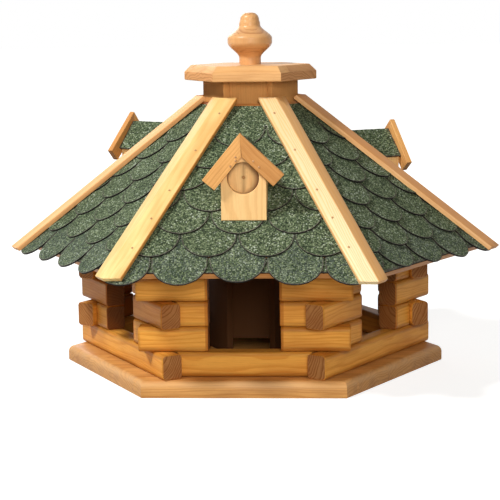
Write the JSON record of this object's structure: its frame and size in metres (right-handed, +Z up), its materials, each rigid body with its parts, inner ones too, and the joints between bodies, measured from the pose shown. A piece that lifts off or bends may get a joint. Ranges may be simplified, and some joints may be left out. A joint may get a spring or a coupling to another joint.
{
  "type": "bird house",
  "caption": "Hexagonal garden bird house: stained log walls with open windows, a central feed silo, a shingled roof with hip caps and small dormers, and a lift-off lid with a turned knob.",
  "frame": {"origin": "bottom centre of the base plate, on the ground plane", "axes": "+Z up, -Y towards the front window, +X to the viewer's right along a line from roof corner to roof corner"},
  "size_m": [0.6018, 0.5199, 0.4276],
  "materials": {
    "base_wood": "stained pine board, satin",
    "log_wood": "stained logs with rounded edges, satin",
    "dowel_wood": "plain beech dowel",
    "silo_board": "stained fine grained board, matte",
    "roof_wood": "stained board, matte",
    "green_felt": "bitumen felt with green mineral granules, rough",
    "cap_wood": "pale pine with knots, satin",
    "dormer_wood": "pale softwood, satin",
    "gable_wood": "thin stained boards, satin",
    "nail_steel": "dull small nails",
    "lid_wood": "stained pine, satin",
    "knob_wood": "turned pine, satin",
    "screw_steel": "zinc plated"
  },
  "bodies": {
    "house": {"base_plate": "base_wood", "front_sill_log": "log_wood", "right_front_sill_log": "log_wood", "right_back_sill_log": "log_wood", "back_sill_log": "log_wood", "left_back_sill_log": "log_wood", "left_front_sill_log": "log_wood", "front_low_logs": "log_wood", "front_mid_logs": "log_wood", "front_top_logs": "log_wood", "right_front_low_logs": "log_wood", "right_front_mid_logs": "log_wood", "right_front_top_logs": "log_wood", "right_back_low_logs": "log_wood", "right_back_mid_logs": "log_wood", "right_back_top_logs": "log_wood", "back_low_logs": "log_wood", "back_mid_logs": "log_wood", "back_top_logs": "log_wood", "left_back_low_logs": "log_wood", "left_back_mid_logs": "log_wood", "left_back_top_logs": "log_wood", "left_front_low_logs": "log_wood", "left_front_mid_logs": "log_wood", "left_front_top_logs": "log_wood", "dowels": "dowel_wood", "silo_tall_boards": "silo_board", "silo_short_boards": "silo_board", "front_roof_board": "roof_wood", "right_front_roof_board": "roof_wood", "right_back_roof_board": "roof_wood", "back_roof_board": "roof_wood", "left_back_roof_board": "roof_wood", "left_front_roof_board": "roof_wood", "roof_gussets": "roof_wood", "front_shingles": "green_felt", "right_front_shingles": "green_felt", "right_back_shingles": "green_felt", "back_shingles": "green_felt", "left_back_shingles": "green_felt", "left_front_shingles": "green_felt", "right_hip_cap": "cap_wood", "right_back_hip_cap": "cap_wood", "left_back_hip_cap": "cap_wood", "left_hip_cap": "cap_wood", "left_front_hip_cap": "cap_wood", "right_front_hip_cap": "cap_wood", "front_dormer_block": "dormer_wood", "right_back_dormer_block": "dormer_wood", "left_back_dormer_block": "dormer_wood", "front_gable_boards": "gable_wood", "right_back_gable_boards": "gable_wood", "left_back_gable_boards": "gable_wood", "dormer_felts": "green_felt", "nails": "nail_steel"},
    "lid": {"lid_plate": "lid_wood", "lid_plug": "lid_wood", "lid_knob": "knob_wood", "knob_screw": "screw_steel"}
  },
  "joints": [
    {"name": "lid_lift", "type": "slide", "parent": "house", "child": "lid", "axis": [0, 0, 1], "range_m": [0, 0.08]}
  ]
}
